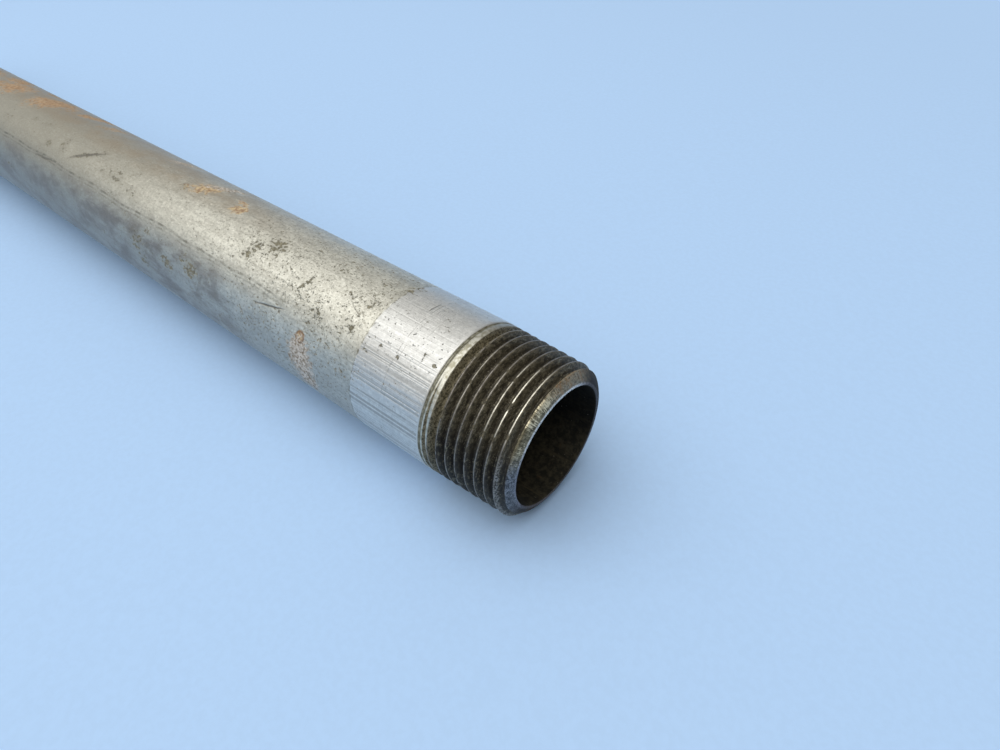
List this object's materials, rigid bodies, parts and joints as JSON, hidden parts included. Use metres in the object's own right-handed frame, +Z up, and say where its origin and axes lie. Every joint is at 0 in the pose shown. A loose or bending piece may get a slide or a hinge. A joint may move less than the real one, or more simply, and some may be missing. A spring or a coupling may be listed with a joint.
{
  "type": "pipe with elbow",
  "caption": "Straight steel pipe with taper-threaded ends and a 90 degree malleable iron elbow screwed on one end.",
  "frame": {"origin": "centre of the pipe's free threaded end face", "axes": "+X out of the free end along the pipe's axis, +Z up, the elbow's open port looks along -Y"},
  "size_m": [0.3382, 0.0512, 0.0364],
  "materials": {
    "pipe_steel": "weathered grey steel with pits, rust stains and oily thread roots",
    "elbow_iron": "cast and galvanised, slightly rough and dulled",
    "joint_compound": "dried jointing paste"
  },
  "bodies": {
    "pipe": {"pipe": "pipe_steel"},
    "compound_bead": {"joint_compound": "joint_compound"},
    "elbow": {"elbow": "elbow_iron"}
  },
  "joints": [
    {"name": "elbow_travel", "type": "slide", "parent": "pipe", "child": "compound_bead", "axis": [-1, 0, 0], "range_m": [0, 0.01089]},
    {"name": "elbow_turn", "type": "hinge", "parent": "compound_bead", "child": "elbow", "pos_m": [-0.287, 0, 0], "axis": [-1, 0, 0], "range_deg": [0, 2160]}
  ],
  "couplings": [
    {"joint": "elbow_travel", "follows": "elbow_turn", "m_per_rad": 0.00028871}
  ]
}
